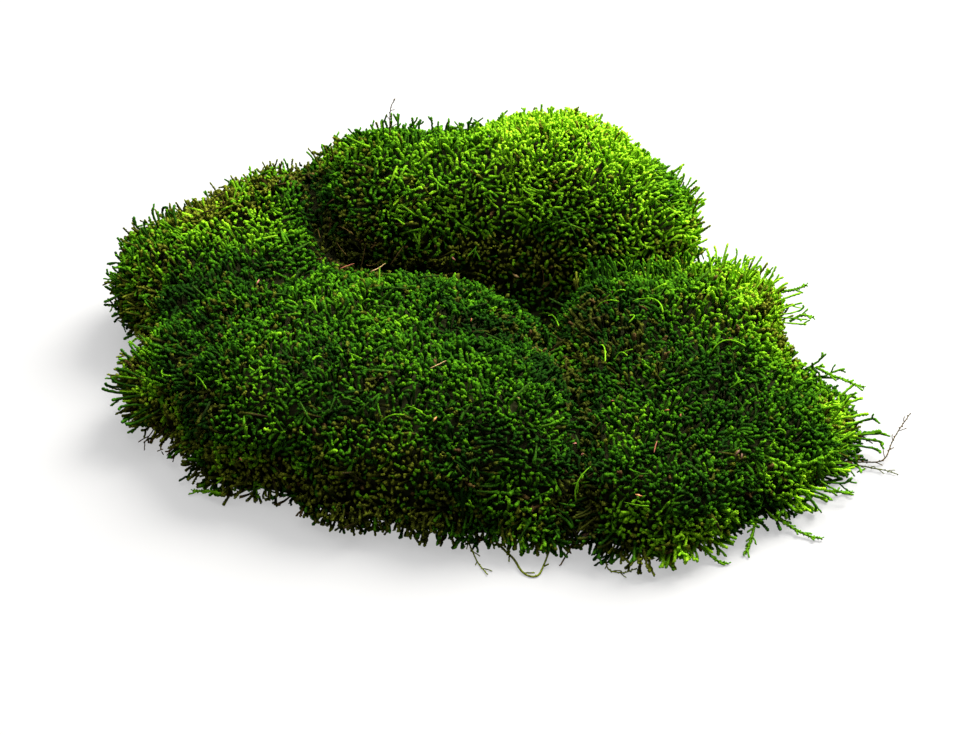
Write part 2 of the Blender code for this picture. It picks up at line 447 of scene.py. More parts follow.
class Shading:
    """A new material and its nodes. Its tint and along are the U and V of the UV map."""

    def __init__(self, name, roughness, specular):
        self.material = bpy.data.materials.new(name)
        self.material.use_nodes = True
        self.nodes = self.material.node_tree.nodes
        self.shader = self.nodes["Principled BSDF"]
        self.shader.inputs["Roughness"].default_value = roughness
        self.shader.inputs["Specular IOR Level"].default_value = specular
        uv = self.nodes.new("ShaderNodeUVMap")
        uv.uv_map = UV_MAP
        parts = self.nodes.new("ShaderNodeSeparateXYZ")
        self.link(uv.outputs["UV"], parts.inputs[0])
        self.tint, self.along = parts.outputs[0], parts.outputs[1]

    def link(self, output, socket):
        self.material.node_tree.links.new(output, socket)

    def ramp(self, factor, stops):
        """The colour at the factor between stops, which are a position and a colour each."""
        node = self.nodes.new("ShaderNodeValToRGB")
        elements = node.color_ramp.elements
        while len(elements) < len(stops):
            elements.new(0.5)
        for element, (position, colour) in zip(elements, stops):
            element.position = position
            element.color = (*colour, 1.0)
        self.link(factor, node.inputs["Fac"])
        return node.outputs["Color"]

    def between(self, low, high):
        """0 where along is under low and 1 where it is over high."""
        node = self.nodes.new("ShaderNodeMapRange")
        node.interpolation_type = "SMOOTHSTEP"
        node.inputs["From Min"].default_value = low
        node.inputs["From Max"].default_value = high
        self.link(self.along, node.inputs["Value"])
        return node.outputs["Result"]

    def reckon(self, operation, *values):
        """The result of an operation on outputs and plain numbers."""
        node = self.nodes.new("ShaderNodeMath")
        node.operation = operation
        for socket, value in zip(node.inputs, values):
            if isinstance(value, float):
                socket.default_value = value
            else:
                self.link(value, socket)
        return node.outputs[0]

    def wave(self, coordinate, turns):
        return self.reckon("SINE", self.reckon("MULTIPLY", coordinate, turns * 2.0 * math.pi))

    def mix(self, first, second, factor=None):
        """The first colour at factor 0 and the second at 1, or without a factor one times the other."""
        node = self.nodes.new("ShaderNodeMix")
        node.data_type = "RGBA"
        if factor is None:
            node.blend_type = "MULTIPLY"
            node.inputs["Factor"].default_value = 1.0
        else:
            self.link(factor, node.inputs["Factor"])
        self.link(first, node.inputs[6])
        self.link(second, node.inputs[7])
        return node.outputs[2]


def moss_material():
    moss = Shading("moss_shoots", 0.65, 0.0)
    root, middle, tip = (moss.ramp(moss.tint, stops) for stops in (ROOT_COLOURS, MIDDLE_COLOURS, TIP_COLOURS))
    # The colour runs from a darker root to a paler tip: partly the shoot's own colour, partly painted shade
    # and highlight.
    lower = moss.mix(root, middle, moss.between(0.25, 0.60))
    whole = moss.mix(lower, tip, moss.between(0.74, 0.94))
    # Painted shade between the scales and painted highlight on their tips.
    around = moss.wave(moss.tint, 2.0 / TINT_SPREAD)
    scales = moss.reckon("MULTIPLY_ADD", around, moss.wave(moss.along, LEAF_ROWS), 0.5)
    colour = moss.mix(whole, moss.ramp(scales, SCALE_SHADE_AND_HIGHLIGHT))
    moss.link(colour, moss.shader.inputs["Base Color"])
    glow = moss.nodes.new("ShaderNodeBsdfTranslucent")
    moss.link(colour, glow.inputs["Color"])
    blend = moss.nodes.new("ShaderNodeMixShader")
    blend.inputs[0].default_value = LEAF_GLOW
    moss.link(moss.shader.outputs[0], blend.inputs[1])
    moss.link(glow.outputs[0], blend.inputs[2])
    moss.link(blend.outputs[0], moss.nodes["Material Output"].inputs["Surface"])
    return moss.material


def litter_material():
    litter = Shading("fallen_litter", 0.6, 0.3)
    base = litter.ramp(litter.tint, LITTER_COLOURS)
    colour = litter.mix(base, litter.ramp(litter.along, LITTER_STREAKS))
    litter.link(colour, litter.shader.inputs["Base Color"])
    return litter.material


# ---------------------------------------------------------------- the cushions' skins

CUSHIONS = ("back_cushion", "front_cushion", "right_cushion")
SPACING = 1.86 * MM  # from one standing shoot to the next
SEAM = 1.6 * MM  # where two cushions are nearer than this, the skin between them is a closed wall
WALL_DEPTH = 14 * MM  # how far down a closed wall shoots still stand


def tree_of(places):
    tree = KDTree(len(places))
    for index, place in enumerate(places):
        tree.insert(Vector(place), index)
    tree.balance()
    return tree


def sunshine(places):
    """How far each place is on the bright crown or the bright upper right rim, from 0 to 1."""
    x, y, height = places.T
    crown = smooth(x, -0.03, 0.05) * smooth(height, 0.045, 0.080) * smooth(y, 0.02, 0.06)
    rim = smooth(x, 0.07, 0.12) * smooth(height, 0.015, 0.04) * smooth(y, -0.04, 0.01)
    return np.maximum(crown, 0.8 * rim)


class Skin:
    """A cushion's solid as arrays, with trees for the places near a point."""

    def __init__(self, node):
        self.name = node
        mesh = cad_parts[node].data
        mesh.calc_loop_triangles()
        self.points = np.array([vertex.co for vertex in mesh.vertices])
        self.triangles = np.array([triangle.vertices for triangle in mesh.loop_triangles])
        a, b, c = corners_of(self.points, self.triangles)
        cross = np.cross(b - a, c - a)
        self.area = np.linalg.norm(cross, axis=1) / 2.0
        self.normal = unit(cross)
        self.tree = BVHTree.FromPolygons([Vector(p) for p in self.points], self.triangles.tolist())
        self.sole = (self.normal[:, 2] < -0.95) & ((a + b + c)[:, 2] < 3 * MM)

    def scatter(self, chosen, spacing, rng):
        """Places on the chosen faces, evenly scattered and a little closer in the sun, with their faces."""
        weight = np.where(chosen, self.area, 0.0)
        wanted = int(weight.sum() / spacing**2 * 4.0)
        faces = rng.choice(len(weight), wanted, p=weight / weight.sum())
        r1, r2 = np.sqrt(rng.random(wanted)), rng.random(wanted)
        a, b, c = corners_of(self.points, self.triangles[faces])
        places = column(1 - r1) * a + column(r1 * (1 - r2)) * b + column(r1 * r2) * c
        reach = spacing * (1.0 - 0.14 * sunshine(places))
        tree = tree_of(places)
        kept = []
        taken = np.zeros(wanted, bool)
        for index in range(wanted):
            if taken[index]:
                continue
            kept.append(index)
            for _, near, _ in tree.find_range(Vector(places[index]), reach[index]):
                taken[near] = True
        return places[kept], faces[kept]

    def spread(self, others, rng):
        """Spread the places for shoots over the skin: open ones, and those on the walls of a seam."""
        self.others = others
        places, faces = self.scatter(~self.sole, SPACING, rng)
        normals = self.normal[faces]
        pressed = np.zeros(len(places), bool)
        for row, (place, normal) in enumerate(zip(places, normals)):
            start, way = Vector(place + normal * 0.1 * MM), Vector(normal)
            pressed[row] = any(other.tree.ray_cast(start, way, SEAM)[0] is not None for other in others)
        self.places = places[~pressed]
        self.open_tree = tree_of(self.places)
        self.normals = self.averaged(normals[~pressed], self.places, 11 * MM)
        self.wall_places, self.wall_normals = places[pressed], normals[pressed]
        near = self.to_open(self.wall_places)[1] < WALL_DEPTH
        self.wall_places, self.wall_normals = self.wall_places[near], self.wall_normals[near]

    def averaged(self, normals, places, reach):
        """The mean of the open places' normals around each place."""
        result = np.empty_like(places)
        for row, place in enumerate(places):
            near = [index for _, index, _ in self.open_tree.find_range(Vector(place), reach)]
            result[row] = normals[near].sum(axis=0)
        return unit(result)

    def to_open(self, places):
        """The way from each place to the nearest open one, and how far it is."""
        nearest = np.array([self.open_tree.find(Vector(place))[0] for place in places]).reshape(-1, 3)
        return unit(nearest - places), np.linalg.norm(nearest - places, axis=1)

    def on_skin(self, points, height):
        """Each point's nearest place on the skin, raised by a height."""
        result = np.empty_like(points)
        for row, point in enumerate(points):
            place, normal, _, _ = self.tree.find_nearest(Vector(point))
            result[row] = place + normal * height
        return result


def distance_to(skins, places, limit=0.03):
    """How far each place is from the nearest of some skins."""
    result = np.full(len(places), limit)
    for skin in skins:
        for row, place in enumerate(places):
            hit = skin.tree.find_nearest(Vector(place), limit)
            if hit[0] is not None:
                result[row] = min(result[row], hit[3])
    return result


# ---------------------------------------------------------------- dressing a cushion

SHOOT_RADIUS = 0.67 * MM
LONG_RADIUS = 0.58 * MM
SHOOT_LENGTH = 10.5 * MM
CURLED = 0.40  # the share of standing shoots whose tips curl much
MAT_DEPTH = 8.0 * MM  # how far the mat lies under the skin
MAT_MELT = 5  # how many times its points are evened out
SOLE_HEIGHT = 1.3 * MM  # how high the mat's underside lies over the table, on the old stems
PIECE_TRIANGLES = 165_000


def mat(heap, skin):
    """The brown mat of old stems that the shoots stand on, darkened as painted shade: the skin, drawn in
    where they stand.
    """
    used, inverse = np.unique(np.round(skin.points, 6), axis=0, return_inverse=True)
    triangles = inverse.reshape(-1)[skin.triangles]
    normals = np.zeros_like(used)
    for corner in range(3):
        np.add.at(normals, triangles[:, corner], skin.normal * column(skin.area))
    room = 1.0 - 0.8 * smooth(skin.to_open(used)[1], 2 * MM, 9 * MM)
    at_floor = used[:, 2] < 1 * MM
    normals[:, 2] = np.where(at_floor, 0.0, normals[:, 2])
    rim = np.zeros(len(used), bool)
    rim[triangles[~skin.sole]] = True
    low = 1.0 - smooth(used[:, 2], 4 * MM, 14 * MM)
    in_seam = 1.0 - smooth(distance_to(skin.others, used), 3 * MM, 10 * MM)
    depth = MAT_DEPTH * (1.0 - 0.35 * low) * (1.0 - low * in_seam) + drawn_in(used)
    depth *= 1.0 + 0.12 * waves(used, 6 * MM, 5)
    inward = unit(normals) * column(depth * room * rim)
    triangles = triangles[(triangles != np.roll(triangles, 1, axis=1)).all(axis=1)]
    flat = at_floor[triangles].all(axis=1)
    inward = melted(inward, triangles[~flat], at_floor, MAT_MELT)
    points = melted(used - inward, triangles, ~at_floor, MAT_MELT)
    points[at_floor, 2] = SOLE_HEIGHT
    triangles = relaid(points, triangles, flat)
    uv = np.empty((len(triangles), 3, 2))
    # The mat's dark brown, darkened as painted shade in the gaps between the shoots.
    uv[:] = ((MAT_TINT, 0.01), (2 * MAT_TINT, 0.01), (1.5 * MAT_TINT, 0.03))
    uv[at_floor[triangles].all(axis=1), :, 0] += DEAD[0]
    kept, numbers = np.unique(triangles, return_inverse=True)
    heap.add(points[kept], numbers.reshape(triangles.shape), uv)


def relaid(points, triangles, sole):
    """The triangles with those of the flat sole laid anew inside its outline, which has moved."""
    sides = [tuple(side) for side in sides_of(triangles[sole]).tolist()]
    inner = {(end, start) for start, end in sides}
    following = {start: end for start, end in sides if (start, end) not in inner}
    loops = []
    while following:
        loop = [next(iter(following))]
        while loop[-1] in following:
            loop.append(following.pop(loop[-1]))
        loops.append(loop[:-1])
    numbers = np.array([number for loop in loops for number in loop])
    outlines = [[Vector(points[number]) for number in loop] for loop in loops]
    laid = numbers[np.array(tessellate_polygon(outlines))]
    a, b, c = corners_of(points, laid)
    upward = np.cross(b - a, c - a)[:, 2] > 0
    laid[upward] = laid[upward][:, ::-1]
    return np.concatenate((triangles[~sole], laid))


def melted(points, triangles, free, rounds):
    """The points with the free ones moved again and again towards the middle of their neighbours."""
    ends = sides_of(triangles)
    shared = np.bincount(ends[:, 0], minlength=len(points)).astype(float)
    for _ in range(rounds):
        around = np.zeros_like(points)
        np.add.at(around, ends[:, 0], points[ends[:, 1]])
        points = np.where(column(free), 0.4 * points + 0.6 * around / column(np.maximum(shared, 1.0)), points)
    return points


def old_stems(heap, skin, rng):
    """The brown stems that lie matted under the clump, where it was lifted off the ground."""
    places, _ = skin.scatter(skin.sole, 4.6 * MM, rng)
    places = places[skin.to_open(places)[1] > 8 * MM]
    count = len(places)
    angle = waves(places, 30 * MM, 51) * 2.5 + rng.normal(0.0, 0.7, count)
    way = np.stack((np.cos(angle), np.sin(angle), np.zeros(count)), axis=1)
    reach = column(rng.uniform(4.0, 8.0, count) * MM)
    bow = np.cross(way, UP) * column(rng.normal(0.0, 1.2, count) * MM)
    height = column(rng.uniform(0.5, 1.3, count) * MM) * UP
    radius = rng.uniform(0.4, 0.65, count) * MM
    roots = lifted(places - way * reach + height * 1.5, radius)
    tints = rng.uniform(*DEAD, count)
    shoots(heap, roots, places + bow + height, places + way * reach + height, radius, tints, rng, SIDE)


# Patches where the moss differs: the middle and the half sizes in millimetres, how far the vigour goes up or
# down, the share of olive shoots, and how far the tips are drawn in, in millimetres. The vigour changes are
# mostly painted light and shade and partly the moss's own tone: painted shade in hollows, clefts, valleys and
# folds, and painted light that lifts faces, walls and feet that lie in shade.
PATCHES = {
    "back_face": ((15, 40, 66), (62, 26, 22), 0.14, 0.0, 0),
    "back_face_right": ((34, 46, 70), (14, 12, 14), 0.06, 0.0, 0),
    "back_low": ((-27, 38, 62), (20, 12, 12), 0.12, 0.12, 0),
    "back_left_top": ((-44, 56, 78), (26, 18, 14), 0.14, 0.0, 0),
    "back_rim": ((-40, 80, 80), (32, 12, 12), -0.14, 0.0, 0),
    "crown": ((32, 56, 84), (52, 30, 24), 0.11, 0.0, 0),
    "crown_top": ((36, 76, 93), (44, 24, 14), 0.06, 0.08, 2.0),
    "crown_edge": ((66, 62, 68), (14, 24, 20), -0.12, -0.05, 0),
    "shoulder": ((76, 72, 58), (16, 34, 30), 0.0, 0.0, -3.5),
    "shaded_back": ((-62, 50, 64), (24, 26, 28), -0.22, 0.10, 0),
    "cleft_wall": ((-8, 27, 44), (48, 12, 14), 0.26, 0.50, 0),
    "cleft_left": ((-62, 38, 52), (16, 18, 18), -0.05, 0.45, 0),
    "cleft_foot": ((-58, 32, 39), (12, 10, 12), -0.20, 0.20, 0),
    "cleft_brow": ((-56, 20, 46), (12, 12, 10), -0.20, 0.10, 0),
    "recess": ((-6, 30, 49), (11, 10, 9), -0.14, 0.25, 0),
    "hole": ((20, 26, 40), (12, 12, 18), -0.06, 0.25, 0),
    "hole_floor": ((28, 9, 8), (14, 16, 14), -0.10, 0.30, -4.0),
    "bridge": ((66, 36, 46), (36, 20, 18), 0.34, 0.10, 0),
    "bridge_left": ((44, 32, 52), (12, 12, 10), -0.06, 0.30, 0),
    "bridge_foot": ((30, 25, 38), (12, 10, 10), 0.55, 0.15, 0),
    "bridge_right": ((81, 45, 38), (12, 14, 14), 0.38, 0.25, 0),
    "crease": ((-80, 44, 56), (16, 22, 20), -0.05, -0.40, 0),
    "ridge_edge": ((-80, 54, 58), (12, 20, 16), -0.22, 0.0, 0),
    "left_ridge": ((-104, 52, 54), (36, 24, 18), 0.32, 0.05, 0),
    "ridge_top": ((-92, 60, 63), (14, 12, 12), -0.16, 0.0, 0),
    "ridge_left": ((-125, 59, 51), (18, 14, 14), 0.30, 0.30, 1.5),
    "left_brow": ((-133, 28, 46), (14, 14, 10), 0.15, 0.25, 0),
    "left_rim": ((-146, -2, 26), (14, 54, 26), 0.26, 0.45, 0),
    "left_hollow": ((-130, 6, 38), (16, 14, 14), -0.26, -0.20, 0),
    "fold": ((-112, -10, 44), (26, 48, 18), -0.22, 0.0, 0),
    "left_top": ((-99, -46, 53), (14, 12, 10), -0.10, 0.0, 0),
    "left_face": ((-114, -63, 33), (15, 15, 14), -0.26, 0.30, 0),
    "left_foot": ((-136, -46, 18), (16, 20, 18), 0.62, 0.30, 6),
    "brown_foot": ((-98, -80, 15), (30, 14, 14), 0.50, 0.30, 3),
    "front_brow_left": ((-88, -63, 46), (26, 12, 10), 0.08, 0.0, 0),
    "front_top": ((-69, -50, 52), (16, 14, 12), -0.18, 0.0, 0),
    "front_shade": ((-30, -70, 46), (54, 36, 16), -0.10, 0.0, 0),
    "front_low": ((-8, -88, 48), (14, 10, 8), -0.12, 0.0, 0),
    "front_low_shade": ((8, -93, 36), (52, 14, 14), -0.12, 0.0, 0),
    "front_mid_shade": ((-58, -84, 38), (20, 14, 14), -0.12, 0.0, 0),
    "front_edge": ((20, -46, 43), (12, 14, 12), -0.30, 0.0, 0),
    "front_green": ((16, -93, 36), (16, 16, 16), 0.0, -0.35, 0),
    "valley": ((-4, -4, 46), (32, 22, 18), -0.18, 0.05, 0),
    "valley_edge": ((6, -18, 42), (20, 14, 14), -0.28, 0.12, 0),
    "front_brow": ((24, -83, 41), (36, 12, 11), 0.14, 0.0, 0),
    "olive_front": ((-47, -89, 33), (24, 14, 20), 0.32, 0.20, 0),
    "olive_low": ((-18, -97, 34), (24, 12, 14), 0.05, 0.25, 0),
    "bottom_old": ((-50, -96, 18), (64, 14, 20), 0.12, 0.40, 0),
    "bottom_out": ((-46, -98, 7), (42, 14, 14), 0.0, 0.0, -3.0),
    "middle_foot": ((12, -100, 22), (20, 12, 18), 0.34, 0.05, 0),
    "middle_rim": ((9, -108, 7), (14, 10, 12), 0.25, 0.20, 0),
    "mouth": ((30, -100, 16), (10, 14, 16), -0.12, 0.60, 0),
    "seam": ((33, -80, 26), (10, 34, 30), -0.16, 0.05, 0),
    "seam_top": ((29, -25, 36), (10, 12, 12), 0.30, 0.15, 0),
    "hollow": ((44, -22, 44), (24, 28, 18), -0.30, 0.25, 0),
    "hollow_edge": ((34, -10, 43), (14, 12, 12), -0.20, 0.40, 0),
    "hollow_brown": ((50, -38, 44), (20, 22, 14), 0.0, 0.20, 0),
    "right_dip": ((48, -62, 45), (13, 13, 12), -0.16, 0.0, 0),
    "right_shade": ((86, -56, 42), (34, 26, 16), -0.12, 0.0, 0),
    "right_back": ((78, -14, 50), (14, 12, 10), 0.16, 0.10, 0),
    "right_brow": ((98, -32, 45), (26, 20, 12), 0.14, 0.0, 0),
    "bright_rim": ((110, -6, 38), (34, 34, 26), 0.38, 0.30, 0),
    "rim_edge": ((122, 6, 30), (12, 18, 20), 0.10, 0.12, 4),
    "rim_low": ((118, -14, 32), (12, 14, 14), 0.12, 0.0, 3),
    "right_tip": ((142, -37, 16), (18, 24, 16), 0.45, 0.22, 7),
    "right_tip_back": ((146, -22, 14), (16, 18, 14), 0.40, 0.10, 3),
    "right_low_side": ((112, -84, 18), (18, 14, 16), 0.36, 0.0, 0),
    "lower_right": ((125, -76, 10), (24, 18, 14), 0.36, 0.0, 3),
    "corner_shade": ((96, -99, 15), (10, 12, 12), -0.15, 0.0, 0),
    "right_foot": ((80, -111, 11), (26, 14, 14), 0.52, 0.10, 1),
    "right_low": ((74, -108, 25), (12, 10, 10), -0.20, 0.0, 0),
    "right_low_brow": ((82, -97, 34), (12, 12, 12), 0.14, 0.10, 0),
    "right_front_foot": ((50, -113, 20), (14, 10, 10), 0.24, 0.10, 0),
    "left_low_brow": ((38, -103, 25), (10, 10, 12), 0.18, 0.10, 0),
    "right_bottom_old": ((44, -108, 7), (20, 12, 10), -0.08, 0.25, 0),
    "right_out": ((46, -112, 6), (22, 12, 12), 0.0, 0.0, -3.0),
    "right_rim_low": ((66, -113, 8), (24, 12, 10), 0.25, 0.10, 0),
}


def in_patch(places, name):
    """How far each place is inside a patch: 1 in its middle, 0 outside."""
    middle, half = PATCHES[name][:2]
    return 1.0 - smooth(np.linalg.norm((places / MM - middle) / half, axis=1), 0.45, 1.25)


def drawn_in(places):
    """How far the tips are drawn in at each place."""
    return sum(in_patch(places, name) * depth for name, (*_, depth) in PATCHES.items()) * MM


def colouring(places, rng, vigour_and_painted_light, old=0.0, dead_share=1.0):
    """The tint of each shoot: green and paler by its vigour and by painted light and shade, which the patches
    raise or lower, with olive and dead ones where the moss is old.
    """
    count = len(places)
    x, y, z = places.T
    ridge = smooth(-x, 0.05, 0.10) * smooth(y, 0.035, 0.065) * (1.0 - 0.7 * smooth(y, 0.075, 0.095))
    olive = 0.02 + 0.06 * smooth(-x, 0.02, 0.08) + 0.45 * ridge + old
    olive += 0.40 * smooth(-x, -0.01, 0.03) * (1.0 - smooth(z, 0.010, 0.028))
    patchy = smooth(waves(places, 24 * MM, 61), 0.35, 0.9)
    olive += 0.20 * patchy * smooth(-y, 0.0, 0.02) * smooth(-x, -0.03, 0.02)
    for name, (_, _, change, share, _) in PATCHES.items():
        weight = in_patch(places, name)
        vigour_and_painted_light = vigour_and_painted_light + change * weight
        olive += share * weight
    tints = LEAST_GREEN + GREEN_SPAN * np.clip(vigour_and_painted_light, 0.0, 1.0)
    chance = rng.random(count)
    # Olive tints are paler where vigour and painted light are high.
    olive_paleness = np.clip(vigour_and_painted_light * 1.3, 0.0, 1.0)
    tints = np.where(chance < olive, OLIVE[0] + (OLIVE[1] - OLIVE[0]) * olive_paleness, tints)
    dead = dead_share * (0.002 + 0.03 * olive + 0.05 * (1.0 - smooth(z, 0.002, 0.012)))
    return np.where(chance > 1.0 - dead, rng.uniform(*DEAD, count), tints)


def standing_shoots(skin, rng):
    """The shoots that stand all over a cushion's open skin, with a few branchlets each."""
    places, normals = skin.places, skin.normals
    count = len(places)
    x, y, height = places.T

    in_cleft = 1.0 - smooth(distance_to(skin.others, places), 1 * MM, 11 * MM)
    in_cleft *= 1.0 - in_patch(places, "bridge")
    near_floor = 1.0 - smooth(height, 2 * MM, 16 * MM)
    sunny = sunshine(places)
    pit = smooth(-waves(places, 6 * MM, 33), 0.55, 1.1) * (1.0 - 0.7 * sunny)

    lean = wave_vectors(places, 16 * MM, 11) * 0.35
    tuft = wave_vectors(places, 4.5 * MM, 21)
    rise = 0.15 + 0.75 * (1.0 - smooth(normals[:, 2], -0.2, 0.8)) * (1.0 - 0.9 * near_floor) + sunny * 0.7
    heading = unit(normals + UP * column(rise) + lean + tuft * 0.55 + rng.normal(size=(count, 3)) * 0.42)
    curled = rng.random(count) < CURLED
    curl = column(np.where(curled, rng.uniform(0.7, 1.3, count), rng.uniform(0.2, 0.7, count)))
    ends = unit(heading + (tuft * 0.7 + lean * 0.5 + rng.normal(size=(count, 3)) * 0.8) * curl)

    proud = rng.normal(-0.5, 0.6, count) - in_cleft * 1.2 - pit * 1.7
    waved = waves(places, 9 * MM, 31) * 1.2 + waves(places, 4 * MM, 32) * 0.5
    proud += waved + sunny * rng.normal(0.0, 0.6, count)
    raised = np.clip(proud, -3.8, 2.4) * MM - drawn_in(places)
    tips = places + normals * column(raised) + (ends - normals) * 1.4 * MM
    length = column(SHOOT_LENGTH * rng.uniform(0.85, 1.2, count))
    elbows = tips - ends * length * 0.25
    roots = elbows - unit(heading + normals * 0.4) * length * 0.75
    radius = SHOOT_RADIUS * rng.uniform(0.72, 1.22, count) * (1.0 - 0.30 * sunny)

    vigour_and_painted_light = 0.24 + 0.10 * waves(places, 22 * MM, 41) + 0.08 * waves(places, 5 * MM, 42)
    vigour_and_painted_light += rng.normal(0, 0.13, count)
    # Paler on the sunlit crown and rim, higher up and towards the back: partly the young growth's own colour,
    # partly painted light.
    vigour_and_painted_light += 0.58 * sunny + 0.16 * smooth(height, 0.03, 0.07) + 0.08 * smooth(y, 0.0, 0.04)
    # Darker in clefts and pits, as painted shade, and darker towards the table.
    vigour_and_painted_light -= 0.18 * in_cleft + 0.12 * near_floor + 0.12 * pit
    tints = colouring(places, rng, vigour_and_painted_light, 0.3 * in_cleft)
    branches = rng.choice(3, count, p=(0.38, 0.38, 0.24))
    plane = unit(normals * 0.3 + rng.normal(size=(count, 3)))
    return Shoots(roots, elbows, tips, radius, tints, branches, plane)


def wall_shoots(skin, rng):
    """The shoots in a seam between two cushions, darkened as painted shade, which grow along its walls to the
    light.
    """
    places, normals = skin.wall_places, skin.wall_normals
    count = len(places)
    outward, depth = skin.to_open(places)
    heading = unit(normals * 0.3 + outward + UP * 0.4 + rng.normal(size=(count, 3)) * 0.3)
    ends = unit(heading + rng.normal(size=(count, 3)) * 0.5)
    tips = places - normals * 0.5 * MM + ends * column(rng.uniform(-1.0, 1.5, count) * MM)
    elbows = tips - ends * 3.0 * MM
    roots = elbows - unit(heading + normals * 0.5) * 4.0 * MM
    radius = SHOOT_RADIUS * rng.uniform(0.7, 1.1, count)
    # The tint darkens the deeper a shoot stands in the seam: painted shade.
    tints = colouring(places, rng, 0.16 - depth / WALL_DEPTH * 0.12 + rng.normal(0.0, 0.08, count), 0.25)
    plane = unit(rng.normal(size=(count, 3)))
    return Shoots(roots, elbows, tips, radius, tints, rng.choice(3, count, p=(0.4, 0.4, 0.2)), plane)


def stray_shoots(skin, rng):
    """The longer pale shoots that lie here and there on the others."""
    chosen = rng.choice(len(skin.places), int(len(skin.places) / 400), replace=False)
    places, normals = skin.places[chosen], skin.normals[chosen]
    count = len(places)
    way = unit(np.cross(normals, rng.normal(size=(count, 3))))
    reach = column(rng.uniform(2.0, 3.8, count) * MM)
    bow = np.cross(way, normals) * column(rng.normal(0.0, 1.6, count) * MM)
    roots = skin.on_skin(places - way * reach, -1.5 * MM)
    elbows = skin.on_skin(places + bow, 1.8 * MM)
    tips = skin.on_skin(places + way * reach, 1.0 * MM)
    radius = rng.uniform(0.40, 0.55, count) * MM
    tints = LEAST_GREEN + GREEN_SPAN * rng.uniform(0.25, 0.65, count)
    return Shoots(roots, elbows, tips, radius, tints, rng.integers(0, 4, count), normals, LONG, FEATHERED)


# Where longer shoots stand out of the rims: the cushion, the middle of the stretch and its half sizes, the
# way the shoots point, and their least and greatest length, all in millimetres; then how many there are,
# their vigour, which holds painted light as well as their own paleness, and the most side branches that one
# has.
FRINGES = {
    "upper_right_rim": ("right_cushion", (104, 12, 44), (32, 20, 18), (0.35, 0.15, 0.9), (5, 8), 50, 0.85, 0),
    "seam_bridge": ("right_cushion", (52, 24, 42), (34, 14, 14), (-0.1, 0.35, 0.9), (6, 11), 70, 0.22, 1),
    "right_end": ("right_cushion", (136, -38, 14), (22, 36, 20), (0.9, -0.1, 0.35), (5, 9), 20, 0.45, 2),
    "bottom_right": ("right_cushion", (106, -88, 5), (42, 24, 9), (0.5, -0.8, 0.0), (4, 8), 30, 0.35, 1),
    "bottom_front": ("right_cushion", (48, -112, 4), (30, 14, 8), (0.1, -0.9, 0.1), (5, 8), 40, 0.25, 2),
    "mouth_right": ("right_cushion", (37, -98, 8), (12, 14, 16), (-0.5, -0.7, 0.1), (6, 9), 24, 0.12, 1),
    "mouth_left": ("front_cushion", (26, -96, 8), (12, 14, 16), (0.5, -0.7, 0.1), (6, 9), 24, 0.12, 1),
    "bottom_middle": ("front_cushion", (-30, -98, 6), (68, 18, 10), (0.0, -0.9, 0.0), (3, 6), 180, 0.20, 1),
    "bottom_left": ("front_cushion", (-126, -58, 6), (40, 36, 10), (-0.5, -0.8, 0.0), (3, 6), 60, 0.24, 1),
    "left_end": ("front_cushion", (-152, -6, 20), (18, 50, 24), (-0.9, -0.1, 0.3), (4, 7), 60, 0.25, 1),
    "left_shoulder": ("front_cushion", (-144, 34, 38), (18, 30, 18), (-0.6, 0.3, 0.7), (3, 6), 60, 0.25, 1),
    "left_crest": ("front_cushion", (-112, 76, 48), (48, 22, 18), (-0.2, 0.3, 0.9), (3, 5), 60, 0.35, 1),
    "back_crest": ("back_cushion", (-40, 82, 72), (50, 24, 18), (-0.1, 0.2, 0.9), (4, 6), 50, 0.45, 1),
    "crown": ("back_cushion", (38, 84, 76), (52, 26, 20), (0.1, 0.1, 1.0), (2, 4), 60, 0.75, 0),
    "back_right_edge": ("back_cushion", (84, 72, 40), (16, 34, 30), (0.35, 0.0, 0.95), (5, 8), 70, 0.85, 0),
    "far_side": ("back_cushion", (0, 116, 8), (90, 14, 12), (0.0, 0.9, 0.2), (5, 9), 60, 0.25, 2),
}


def fringe_shoots(skin, rng):
    """The longer shoots that stand out of a cushion's rims."""
    groups = []
    for cushion, middle, half, aim, reach, count, vigour_and_painted_light, forks in FRINGES.values():
        if cushion != skin.name:
            continue
        inside = (((skin.places / MM - middle) / half) ** 2).sum(axis=1) < 1.0
        candidates = np.nonzero(inside)[0]
        chosen = rng.choice(candidates, min(count, len(candidates)), replace=False)
        places, normals = skin.places[chosen], skin.normals[chosen]
        size = (len(chosen), 3)
        aims = np.array(aim) + normals * 0.5 + rng.normal(size=size) * 0.35
        aims[:, 2] = np.where(places[:, 2] < 5 * MM, aims[:, 2] * 0.3, aims[:, 2])
        aims = unit(aims)
        length = column(rng.uniform(*reach, len(chosen)) * MM)
        roots = places - normals * (3.0 * MM + column(drawn_in(places)))
        elbows = roots + unit(aims + normals * 0.4) * (length * 0.5 + 1.5 * MM)
        tips = elbows + unit(aims + rng.normal(size=size) * 0.55 + UP * 0.15) * length * 0.5
        radius = LONG_RADIUS * rng.uniform(0.85, 1.15, len(chosen))
        radius *= 1.0 + 0.25 * (1.0 - smooth(places[:, 2], 6 * MM, 14 * MM))
        tints = colouring(places, rng, rng.normal(vigour_and_painted_light, 0.12, len(chosen)), dead_share=0.1)
        plane = unit(np.cross(aims, rng.normal(size=size)))
        groups.append((roots, elbows, tips, radius, tints, rng.integers(0, forks + 1, len(chosen)), plane))
    return Shoots(*(np.concatenate(arrays) for arrays in zip(*groups)), LONG, FEATHERED)


